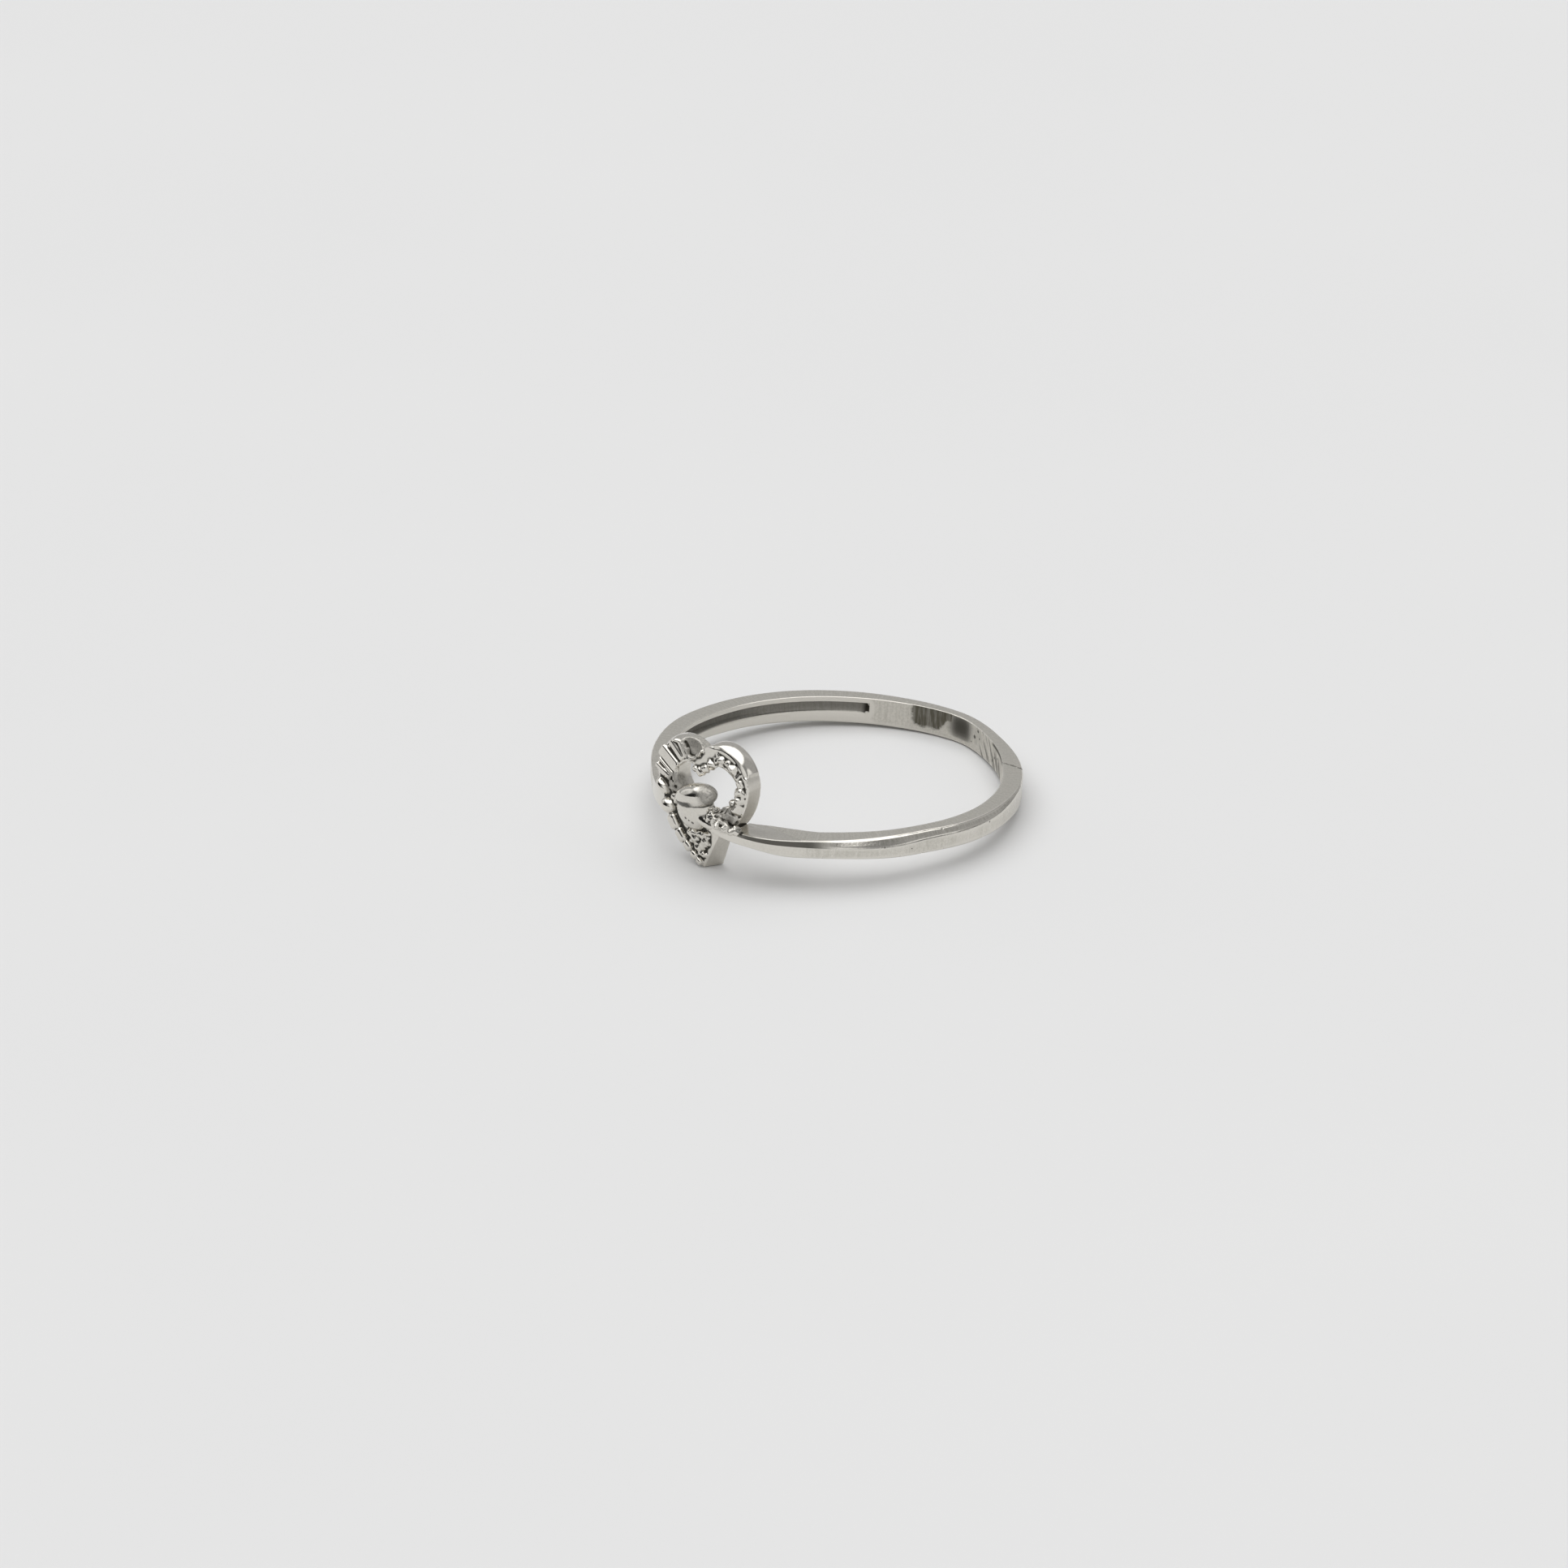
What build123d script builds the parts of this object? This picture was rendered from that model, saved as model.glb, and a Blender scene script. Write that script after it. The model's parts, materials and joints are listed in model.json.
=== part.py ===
"""A cast finger ring whose shank carries an open heart.

The ring is one casting. The shank runs round the finger from the heart's right side to its
left side. At the right its outer part crosses in front of the heart and ends in a round bud.
The heart's left limb carries a row of ribs that shrink to beads towards the point, and its
right limb is smooth with small beads along the inner edge.

Lengths are millimetres. While the ring is made, the finger's axis is Z, the shank's upper
rim lies at z = 0 and the heart faces the front, towards -Y. The last step leans the finished
ring back on to the heart's point and the far side of the shank, as it lies on a table.
"""
import os
from math import atan2, cos, degrees, radians, sin

from build123d import *

# Shank
finger_diameter = 17.1
shank_width = 1.45
shank_thickness = 1.08
shank_bevel = 0.4

# Channel sunk in the shank's inner wall, in degrees round from the heart
channel_width = 0.46
channel_depth = 0.3
channel_below_rim = 0.55
channel_start = 214.0
channel_end = 312.0

# Heart, flat and stood against the finger's front
heart_width = 6.56
heart_height = 6.65
heart_depth = 0.95
heart_stand_off = 0.6
heart_aside = 0.25
heart_above_rim = 0.8
heart_roll = 9.0
heart_edge_round = 0.22

# Heart's opening
hole_width = 4.25
hole_height = 3.7
hole_aside = 0.57
hole_above_middle = 0.42

# Ribs, beads and grains raised on the heart
rib_width = 0.66
rib_rise = 0.26
rim_bead = 0.46
grain = 0.4

# Crossing arm and the bud at its end
arm_height = 0.8
arm_depth = 0.85
bud_width = 2.7
bud_height = 2.2
bud_depth = 1.2

# The turn is in degrees from the heart. The drop of the upper rim and the width are shares of
# shank_width, the wall is a share of shank_thickness and the bevel one of shank_bevel.
shank_columns = ("turn", "drop", "width", "wall", "bevel")
shank_sections = (
    (14.0, 0.12, 0.52, 1.42, 0.25),
    (26.0, 0.11, 0.62, 1.38, 0.50),
    (42.0, 0.08, 0.67, 1.25, 0.65),
    (60.0, 0.03, 0.76, 1.09, 1.00),
    (78.0, 0.00, 0.80, 1.06, 0.80),
    (98.0, 0.00, 0.79, 1.08, 0.65),
    (118.0, 0.00, 0.78, 0.95, 0.30),
    (140.0, 0.00, 0.84, 0.82, 0.12),
    (162.0, 0.00, 0.96, 0.75, 0.10),
    (184.0, 0.00, 1.00, 0.78, 0.10),
    (206.0, 0.00, 1.00, 0.78, 0.10),
    (230.0, 0.00, 1.00, 0.80, 0.10),
    (254.0, 0.00, 0.94, 0.83, 0.10),
    (278.0, 0.00, 0.86, 0.95, 0.12),
    (302.0, 0.00, 0.76, 0.86, 0.15),
    (324.0, 0.02, 0.64, 0.80, 0.20),
    (345.0, 0.05, 0.62, 1.10, 0.25),
)

# The turn is in degrees from the heart, the radius is a share of the radius of the heart's
# front, and the height above the rim one of heart_height. The rest are shares of arm_height
# and arm_depth.
arm_columns = ("turn", "out", "up", "tall", "deep")
arm_sections = (
    (38.0, 0.950, -0.085, 0.85, 0.80),
    (28.0, 0.985, -0.078, 0.88, 0.92),
    (18.0, 1.025, -0.055, 0.90, 1.00),
    (11.0, 1.045, -0.005, 1.25, 1.05),
    (5.0, 1.045, 0.050, 2.00, 1.10),
)

# Ribs of the left limb, from the lobe's top down to the point. Their places are shares of
# half the heart's width across and of its height up, from its middle. The length and the
# breadth are shares of rib_width, and the lean is in degrees.
rib_columns = ("across", "up", "long", "broad", "lean")
rib_rows = (
    (-0.26, 0.385, 1.70, 0.85, -76.0),
    (-0.45, 0.355, 2.10, 0.92, -58.0),
    (-0.62, 0.290, 2.40, 1.00, -38.0),
    (-0.71, 0.195, 2.40, 1.00, -15.0),
    (-0.74, 0.080, 2.00, 0.98, 6.0),
    (-0.72, -0.040, 1.55, 1.00, 20.0),
    (-0.66, -0.145, 1.25, 0.86, 32.0),
    (-0.57, -0.240, 1.10, 0.78, 42.0),
    (-0.44, -0.320, 0.95, 0.70, 48.0),
    (-0.30, -0.385, 0.80, 0.60, 52.0),
    (-0.17, -0.445, 0.70, 0.52, 55.0),
)

# Grains over the heart's point and along the arm's upper edge. Their places are shares as
# for the ribs, the level is a share of heart_depth in front of the heart's face, and the
# size is a share of grain.
grain_columns = ("across", "up", "level", "size")
grain_rows = (
    (0.16, -0.275, 0.02, 1.00),
    (0.02, -0.265, 0.02, 0.90),
    (-0.12, -0.290, 0.02, 1.00),
    (0.08, -0.345, 0.00, 1.10),
    (-0.05, -0.370, 0.02, 0.95),
    (0.00, -0.445, 0.00, 0.80),
    (0.60, -0.055, 0.16, 1.05),
    (0.52, -0.105, 0.30, 0.90),
)

# Beads along the inner edge of the right limb, in degrees round the opening's right lobe
rim_bead_turns = (119, 96, 72, 46, 20, -6, -32)

# Beads under the cleft, as shares of rim_bead across and up from the opening's cleft
cleft_beads = ((0.22, 0.32), (-0.55, 0.62))

finger_radius = finger_diameter / 2
heart_back = finger_radius + heart_stand_off
heart_front = heart_back + heart_depth
half_width = heart_width / 2


def at_turn(turn, radius, height=0.0):
    """The point so many degrees round from the heart, at a radius and a height."""
    return Vector(radius * sin(radians(turn)), -radius * cos(radians(turn)), height)


def section_plane(turn, radius=0.0, height=0.0):
    """The upright plane across the ring there, with x outwards and y up."""
    outwards = at_turn(turn, 1.0)
    return Plane(at_turn(turn, radius, height), x_dir=outwards, z_dir=outwards.cross(Vector(0, 0, 1)))


def on_circle(centre, radius, angle):
    """The point of a circle at an angle in degrees."""
    return (centre[0] + radius * cos(radians(angle)), centre[1] + radius * sin(radians(angle)))


# The heart's own plane: x across, y up, z out of its face, from the middle of its back
heart_plane = Plane(
    Vector(heart_aside, -heart_back, heart_above_rim),
    x_dir=Vector(cos(radians(heart_roll)), 0, sin(radians(heart_roll))),
    z_dir=Vector(0, -1, 0),
)

# Heart outline: two lobes, a full left flank and a right flank that turns down to the point
lobe_radius = 0.293 * heart_width
lobe_up = 0.168 * heart_height
right_lobe = (half_width - lobe_radius, lobe_up)
left_lobe = (lobe_radius - half_width, lobe_up)
cleft = (0.03 * half_width, 0.386 * heart_height)
right_side = on_circle(right_lobe, lobe_radius, -5)
right_top = on_circle(right_lobe, lobe_radius, 75)
left_side = on_circle(left_lobe, lobe_radius, 185)
left_top = on_circle(left_lobe, lobe_radius, 115)
right_flank = (0.72 * half_width, -0.13 * heart_height)
right_knee = (0.32 * half_width, -0.260 * heart_height)
left_flank = (-0.78 * half_width, -0.21 * heart_height)
point_right = (0.02 * half_width, -0.535 * heart_height)
point_left = (-0.13 * half_width, -0.515 * heart_height)

# Opening outline, from its own middle
hole_lobe_radius = 0.275 * hole_width
hole_lobe_up = hole_above_middle + hole_height / 2 - hole_lobe_radius - 0.1 * hole_height
hole_right = (hole_aside + hole_width / 2 - hole_lobe_radius, hole_lobe_up)
hole_left = (hole_aside - hole_width / 2 + hole_lobe_radius, hole_lobe_up)
hole_cleft = (hole_aside - 0.13 * hole_width, hole_above_middle + 0.27 * hole_height)
hole_point = (hole_aside - 0.06 * hole_width, hole_above_middle - hole_height / 2)
hole_right_flank = (hole_aside + 0.31 * hole_width, hole_above_middle - 0.2 * hole_height)
hole_left_flank = (hole_aside - 0.34 * hole_width, hole_above_middle - 0.2 * hole_height)

# Bud: a broad body with a smooth dome over its upper half
bud_level = -heart_front - 0.3 * bud_depth
bud_body = Location((heart_aside + 0.03 * heart_width, bud_level, 0.055 * heart_height), (0, -25, 0)) * scale(
    Sphere(0.5), by=(bud_width, bud_depth, bud_height)
)
bud_dome = Location((heart_aside + 0.02 * heart_width, bud_level, 0.195 * heart_height), (0, -14, 0)) * scale(
    Sphere(0.5), by=(0.95 * bud_width, 1.15 * bud_depth, 0.6 * bud_height)
)

with BuildPart() as heart:
    with BuildSketch(heart_plane):
        with BuildLine():
            ThreePointArc(cleft, right_top, right_side)
            ThreePointArc(right_side, right_flank, right_knee)
            Polyline(right_knee, point_right, point_left)
            ThreePointArc(point_left, left_flank, left_side)
            ThreePointArc(left_side, left_top, cleft)
        make_face()
    extrude(amount=heart_depth)
    fillet(
        heart.faces().sort_by(Axis.Y)[0].outer_wire().edges(),
        radius=heart_edge_round,
    )
    with BuildSketch(heart_plane):
        with BuildLine():
            ThreePointArc(
                hole_cleft,
                on_circle(hole_right, hole_lobe_radius, 80),
                on_circle(hole_right, hole_lobe_radius, 0),
            )
            ThreePointArc(on_circle(hole_right, hole_lobe_radius, 0), hole_right_flank, hole_point)
            ThreePointArc(hole_point, hole_left_flank, on_circle(hole_left, hole_lobe_radius, 180))
            ThreePointArc(
                on_circle(hole_left, hole_lobe_radius, 180),
                on_circle(hole_left, hole_lobe_radius, 100),
                hole_cleft,
            )
        make_face()
    extrude(amount=2 * heart_depth, both=True, mode=Mode.SUBTRACT)

with BuildPart() as casting:
    # Shank, lofted a little inside the finger's size and bored out below
    for row in shank_sections:
        share = dict(zip(shank_columns, row))
        top = -share["drop"] * shank_width
        bottom = top - share["width"] * shank_width
        outside = finger_radius + share["wall"] * shank_thickness
        bevel = share["bevel"] * shank_bevel
        inside = finger_radius - channel_depth
        with BuildSketch(section_plane(share["turn"])):
            with BuildLine():
                Polyline(
                    (inside, bottom),
                    (outside, bottom),
                    (outside, top - bevel),
                    (outside - bevel, top),
                    (inside, top),
                    close=True,
                )
            make_face()
    loft()

    add(heart.part)

    # Ribs, each a rounded bar half sunk in the heart's face
    for row in rib_rows:
        share = dict(zip(rib_columns, row))
        radius = share["broad"] * rib_width / 2
        straight = max(share["long"] * rib_width - 2 * radius, 0.1 * rib_width)
        rib_middle = (
            share["across"] * half_width,
            share["up"] * heart_height,
            heart_depth + rib_rise - radius,
        )
        with Locations(heart_plane * Location(rib_middle, (0, 0, share["lean"]))):
            Cylinder(radius, straight, rotation=(0, 90, 0))
            with Locations((straight / 2, 0, 0), (-straight / 2, 0, 0)):
                Sphere(radius)

    # Beads round the opening's right edge and under its cleft
    rim_places = [on_circle(hole_right, hole_lobe_radius + rim_bead / 4, turn) for turn in rim_bead_turns]
    rim_places += [(hole_cleft[0] + x * rim_bead, hole_cleft[1] + y * rim_bead) for x, y in cleft_beads]
    for across, up in rim_places:
        with Locations(heart_plane * Location((across, up, heart_depth))):
            Sphere(rim_bead / 2)

    # Grains over the point and along the arm
    for row in grain_rows:
        share = dict(zip(grain_columns, row))
        grain_middle = (
            share["across"] * half_width,
            share["up"] * heart_height,
            (1 + share["level"]) * heart_depth,
        )
        with Locations(heart_plane * Location(grain_middle)):
            Sphere(share["size"] * grain / 2)

    # Arm that crosses the heart, and the bud at its end
    for row in arm_sections:
        share = dict(zip(arm_columns, row))
        place = section_plane(share["turn"], share["out"] * heart_front, share["up"] * heart_height)
        with BuildSketch(place):
            Ellipse(share["deep"] * arm_depth / 2, share["tall"] * arm_height / 2)
    loft()
    add(bud_body)
    add(bud_dome)

    # Finger's hollow
    Cylinder(finger_radius, 4 * shank_width, mode=Mode.SUBTRACT)

    # Channel in the inner wall, with a round blind end
    with BuildSketch(section_plane(channel_start, finger_radius, -channel_below_rim)):
        Rectangle(2 * channel_depth, channel_width)
    revolve(axis=Axis.Z, revolution_arc=channel_end - channel_start, mode=Mode.SUBTRACT)
    with Locations(section_plane(channel_start, finger_radius, -channel_below_rim)):
        Cylinder(channel_width / 2, 2 * channel_depth, rotation=(0, 90, 0), mode=Mode.SUBTRACT)

# Lean that brings the heart's point and the far side of the shank to one level
point_below_rim = heart_height * 0.53 * cos(radians(heart_roll)) - heart_above_rim
lean = degrees(atan2(point_below_rim - shank_width, heart_back + finger_radius + shank_thickness))
leaning = casting.part.rotate(Axis.X, -lean)
extent = leaning.bounding_box()

with BuildPart() as heart_ring:
    add(leaning.translate((-extent.center().X, -extent.center().Y, -extent.min.Z)))

os.makedirs("parts", exist_ok=True)
heart_ring.part.label = "heart_ring"
export_step(heart_ring.part, "parts/heart_ring.step")
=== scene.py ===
"""Looks of the heart ring, one silver casting that lies on a pale table.

The casting is modelled in millimetres in the ring's own frame: the finger's axis is Z, the
shank's upper rim is at z = 0 and the heart faces -Y. A turn is in degrees round from the
heart. The finished mesh is then laid where the part lies, in metres.
"""
import json
from functools import lru_cache
from math import atan2, cos, degrees, hypot, pi, radians, sin
from random import Random

import bmesh
import bpy
import numpy as np
from mathutils import Euler, Matrix, Vector


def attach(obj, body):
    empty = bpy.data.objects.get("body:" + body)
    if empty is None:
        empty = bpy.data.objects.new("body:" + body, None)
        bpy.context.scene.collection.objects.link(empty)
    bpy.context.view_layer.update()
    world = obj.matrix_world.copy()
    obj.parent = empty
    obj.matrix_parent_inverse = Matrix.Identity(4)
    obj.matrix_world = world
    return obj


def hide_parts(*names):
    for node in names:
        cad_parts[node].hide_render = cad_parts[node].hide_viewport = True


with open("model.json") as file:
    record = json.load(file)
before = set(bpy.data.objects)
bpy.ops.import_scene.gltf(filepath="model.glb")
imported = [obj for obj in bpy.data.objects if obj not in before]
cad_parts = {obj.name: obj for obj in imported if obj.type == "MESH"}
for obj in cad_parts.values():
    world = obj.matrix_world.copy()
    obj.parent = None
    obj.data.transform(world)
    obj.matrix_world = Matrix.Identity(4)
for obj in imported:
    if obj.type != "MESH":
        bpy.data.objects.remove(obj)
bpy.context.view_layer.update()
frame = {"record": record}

MILLIMETRE = 0.001

# The ring's frame, from the part's own finger bore
bore = next(mount for mount in frame["record"]["mounts"] if mount["name"] == "finger_bore")
finger_axis = Vector(bore["axis"]).normalized()
ring_across = Vector((1, 0, 0))
ring_back = finger_axis.cross(ring_across).normalized()
rim_middle = Vector(bore["pos_m"]) + finger_axis * bore["dims"]["length_mm"] * MILLIMETRE / 2
ring_axes = Matrix((ring_across, ring_back, finger_axis)).transposed()
ring_frame = Matrix.Translation(rim_middle) @ ring_axes.to_4x4()
finger_radius = bore["dims"]["r_mm"]

# Heart
heart_width = 6.56
heart_height = 6.65
heart_depth = 0.95
heart_back = finger_radius + 0.6
heart_front = heart_back + heart_depth
heart_aside = 0.25
heart_above_rim = 0.8
heart_roll = 9.0
half_width = heart_width / 2
heart_turned = Matrix.Rotation(radians(-heart_roll), 4, "Y") @ Matrix.Rotation(radians(90), 4, "X")
heart_frame = Matrix.Translation((heart_aside, -heart_back, heart_above_rim)) @ heart_turned

# Shank and crossing arm, from the bud round to the heart's left. The inside is how far the
# inner wall lies outside the finger's size, and the bevel is the one between the upper face
# and the outer wall, measured across the face and down the wall.
shank_columns = ("turn", "inside", "wall", "top", "width", "bevel_across", "bevel_down")
shank_rows = (
    (3, 1.25, 0.62, 0.50, 0.62, 0.10, 0.10),
    (6, 1.25, 0.98, 0.46, 0.60, 0.10, 0.10),
    (9, 1.25, 1.24, 0.38, 0.58, 0.10, 0.11),
    (12, 1.20, 1.30, 0.22, 0.60, 0.08, 0.14),
    (17, 0.98, 1.32, 0.03, 0.56, 0.08, 0.16),
    (22, 0.68, 1.36, -0.12, 0.62, 0.09, 0.20),
    (28, 0.40, 1.42, -0.13, 0.84, 0.11, 0.24),
    (36, 0.14, 1.38, -0.12, 0.86, 0.15, 0.28),
    (45, 0.00, 1.38, -0.10, 0.88, 0.26, 0.30),
    (60, 0.00, 1.20, -0.04, 1.04, 0.36, 0.40),
    (72, -0.02, 1.02, 0.00, 1.10, 0.32, 0.30),
    (86, 0.00, 1.16, 0.00, 1.08, 0.27, 0.28),
    (98, 0.00, 1.14, 0.00, 1.06, 0.24, 0.24),
    (108, -0.04, 1.06, 0.00, 1.08, 0.14, 0.16),
    (118, -0.08, 1.02, 0.00, 1.12, 0.07, 0.08),
    (136, -0.20, 1.02, 0.00, 1.24, 0.06, 0.06),
    (150, -0.05, 0.78, 0.00, 1.34, 0.06, 0.06),
    (160, 0.10, 0.66, 0.00, 1.40, 0.06, 0.06),
    (178, 0.50, 0.58, 0.00, 1.45, 0.06, 0.06),
    (190, 0.32, 0.66, 0.00, 1.45, 0.06, 0.06),
    (203, 0.08, 0.76, 0.00, 1.45, 0.06, 0.06),
    (221, -0.08, 0.90, 0.00, 1.45, 0.06, 0.06),
    (242, -0.10, 0.98, 0.00, 1.40, 0.06, 0.06),
    (270, -0.10, 1.02, 0.00, 1.30, 0.06, 0.06),
    (284, 0.00, 1.02, 0.00, 1.20, 0.06, 0.06),
    (302, 0.00, 0.92, 0.00, 1.10, 0.06, 0.06),
    (322, 0.10, 0.85, -0.03, 0.95, 0.06, 0.06),
    (340, 0.50, 0.90, -0.05, 0.90, 0.06, 0.06),
    (350, 0.75, 0.80, -0.07, 0.85, 0.06, 0.06),
)

# Shoulder that carries the shank's inner part on to the heart's right side
shoulder_rows = (
    (14, 0.50, 1.05, -0.14, 0.80, 0.12, 0.12),
    (18, 0.20, 1.25, -0.14, 0.84, 0.12, 0.12),
    (25, 0.04, 1.20, -0.15, 0.86, 0.12, 0.12),
    (32, 0.02, 1.10, -0.16, 0.84, 0.12, 0.12),
    (42, 0.06, 0.90, -0.17, 0.78, 0.12, 0.12),
)

# The section on a unit square: where its bevel starts, how far its corners are rounded, and the
# length above which a side is divided
bevel_start = 0.75
section_rounding = 0.07
longest_undivided = 0.2

# Channel in the inner wall
channel_start = 214
channel_end = 318
channel_below_rim = 0.55
channel_width = 0.46
channel_depth = 0.28
channel_soft_edge = 0.10
channel_run_out = 12

# Ribs and beads of the left limb, in the heart's plane from its middle
rib_columns = ("across", "up", "long", "broad", "lean", "rise", "rounding")
rib_rows = (
    (-1.10, 2.52, 0.95, 0.28, -60, 0.10, 0.34),
    (-1.52, 2.40, 1.22, 0.42, -48, 0.13, 0.34),
    (-2.12, 1.92, 1.30, 0.66, -41, 0.14, 0.22),
    (-2.34, 1.44, 1.12, 0.15, -39, 0.12, 0.22),
    (-2.50, 1.20, 1.10, 0.27, -33, 0.20, 0.22),
    (-2.50, 0.94, 0.86, 0.13, -26, 0.11, 0.22),
    (-2.02, -1.38, 0.84, 0.64, -62, 0.32, 0.34),
    (-1.58, -2.02, 0.76, 0.56, -54, 0.30, 0.34),
    (-1.18, -2.52, 0.56, 0.48, -47, 0.26, 0.34),
    (-0.80, -2.93, 0.44, 0.42, -45, 0.24, 0.34),
    (-0.46, -3.22, 0.38, 0.34, -42, 0.22, 0.34),
)

# The least depth that a rib reaches into the heart
rib_root = 0.30

# Two round knobs below the ribs, and the line of small grains along the limb's inner side
knob_columns = ("across", "up", "long", "broad", "lean", "rise")
knob_rows = (
    (-2.66, 0.36, 0.98, 0.62, -46, 0.36),
    (-2.38, -0.60, 1.00, 0.82, -14, 0.42),
)
limb_line = ((-1.55, 1.62), (-1.82, 1.05), (-2.02, 0.45), (-1.95, -0.15), (-1.62, -0.85))

# How far the left flank's front edge is set back, so that the ribs reach past it
edge_set_back = 0.30

# Beads along the opening's edge, from under the cleft round to its foot
rim_bead_columns = ("across", "up", "size")
rim_bead_rows = (
    (-0.30, 1.62, 0.36),
    (0.05, 1.50, 0.42),
    (0.42, 1.72, 0.40),
    (0.86, 2.02, 0.48),
    (1.25, 2.25, 0.34),
    (1.62, 2.36, 0.46),
    (2.02, 2.26, 0.40),
    (2.38, 2.04, 0.50),
    (2.66, 1.66, 0.40),
    (2.78, 1.28, 0.46),
    (2.78, 0.88, 0.56),
    (2.66, 0.46, 0.58),
    (2.46, 0.06, 0.66),
    (2.12, -0.22, 0.54),
)

# Scalloped ridge over the left lobe's hollow, in the heart's plane
ridge_line = (
    (-1.70, 2.92), (-1.34, 2.92), (-1.20, 2.74), (-0.98, 2.76), (-0.90, 2.52), (-0.74, 2.56),
    (-0.72, 2.28), (-0.52, 2.12), (-0.28, 2.18), (-0.10, 2.34), (0.08, 2.40), (0.20, 2.56), (0.36, 2.66),
)
ridge_thickness = 0.16

# Grainy strand along the opening's foot and over the arm's upper face: across, up and level
strand_line = (
    (0.70, -0.30, 1.25), (1.10, -0.42, 1.10), (1.60, -0.36, 1.00), (2.05, -0.30, 0.95), (2.25, -0.55, 1.05),
    (1.75, -0.52, 1.45), (1.02, -0.42, 1.58), (1.80, -0.62, 1.70), (2.25, -0.80, 1.55), (2.75, -1.10, 1.30),
)

# Grainy face above the heart's point, a triangle in the heart's plane
grain_corners = ((-1.05, -1.70), (0.40, -1.75), (-0.12, -3.25))

# Grains: how many to a stretch or to the face, how far they scatter, and their least and
# greatest size
limb_grains = (6, 0.07, (0.14, 0.30))
strand_grains = (9, 0.09, (0.16, 0.38))
point_grains = (44, 0.06, (0.18, 0.42))

# Hollow of the left lobe, an egg in the heart's plane: its middle and its half sizes
hollow_middle = (-0.48, 3.05, 1.85)
hollow_half_sizes = (1.20, 1.25, 1.40)

# Pillow of the right lobe: its radius at the front and in the middle, the level of its middle as
# a share of the depth, and the turns at which it starts and ends
pillow_front = 1.74
pillow_middle = 1.99
pillow_level = 0.38
pillow_start = (15, 18)
pillow_end = (96, 112)

# Bud at the arm's end: a broad body, the neck into the arm, a low lip and the smooth dome, each
# with its place, size and tilt
bud_body_parts = (
    ((0.08, -heart_front - 0.28, 0.50), (2.30, 1.20, 2.50), 35),
    ((0.85, -heart_front - 0.34, 0.12), (2.50, 0.96, 0.76), 10),
    ((0.34, -heart_front - 0.44, 0.60), (1.50, 0.92, 0.84), -18),
)
dome_part = ((0.20, -heart_front - 0.38, 1.17), (2.72, 1.40, 1.28), -20)
bud_voxel = 0.07

# Skin of the cast front, and how many rounds of smoothing tell a crevice
voxel = 0.045
crevice_reach = 18


def on_circle(centre, radius, angle):
    """The point of a circle at an angle in degrees."""
    return Vector((centre[0] + radius * cos(radians(angle)), centre[1] + radius * sin(radians(angle)), 0))


def arc(start, through, end, steps):
    """Points from start, along the arc through a middle point, up to but without the end."""
    ax, ay = through[0] - start[0], through[1] - start[1]
    bx, by = end[0] - start[0], end[1] - start[1]
    twice_area = 2 * (ax * by - ay * bx)
    a2, b2 = ax * ax + ay * ay, bx * bx + by * by
    cx, cy = (by * a2 - ay * b2) / twice_area, (ax * b2 - bx * a2) / twice_area
    radius = hypot(cx, cy)
    centre = (start[0] + cx, start[1] + cy)
    first = degrees(atan2(-cy, -cx))
    sweep = (degrees(atan2(by - cy, bx - cx)) - first) % 360
    if twice_area < 0:
        sweep -= 360
    return [on_circle(centre, radius, first + sweep * i / steps) for i in range(steps)]


@lru_cache(maxsize=None)
def section_sizes(rows, turn, ease=4.0):
    """A table's sizes at a turn, averaged a little to each side so that no row shows as a kink."""
    turns = [row[0] for row in rows]
    near = [turn + ease * step / 4 for step in range(-4, 5)]
    means = [np.interp(near, turns, column).mean() for column in list(zip(*rows))[1:]]
    return dict(zip(shank_columns[1:], means))


def fade(value, low, high):
    """0 below the first edge and 1 above the second, smooth between them."""
    share = min(max((value - low) / (high - low), 0.0), 1.0)
    return share * share * (3 - 2 * share)


def new_object(bm, name):
    """The bmesh as an object of its own."""
    bmesh.ops.remove_doubles(bm, verts=bm.verts, dist=1e-5)
    bmesh.ops.recalc_face_normals(bm, faces=bm.faces)
    mesh = bpy.data.meshes.new(name)
    bm.to_mesh(mesh)
    bm.free()
    piece = bpy.data.objects.new(name, mesh)
    bpy.context.scene.collection.objects.link(piece)
    return piece


def with_modifiers(piece, *modifiers):
    """The piece with these modifiers applied to its mesh."""
    for kind, settings in modifiers:
        modifier = piece.modifiers.new(kind.title(), kind)
        for name, value in settings.items():
            setattr(modifier, name, value)
    view = bpy.context.evaluated_depsgraph_get()
    mesh = bpy.data.meshes.new_from_object(piece.evaluated_get(view))
    piece.modifiers.clear()
    piece.data = mesh
    return piece


def cut(piece, tool):
    """The piece with the tool's space taken out of it."""
    with_modifiers(piece, ("BOOLEAN", {"object": tool, "operation": "DIFFERENCE", "solver": "EXACT"}))
    bpy.data.objects.remove(tool)
    return piece


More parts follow.
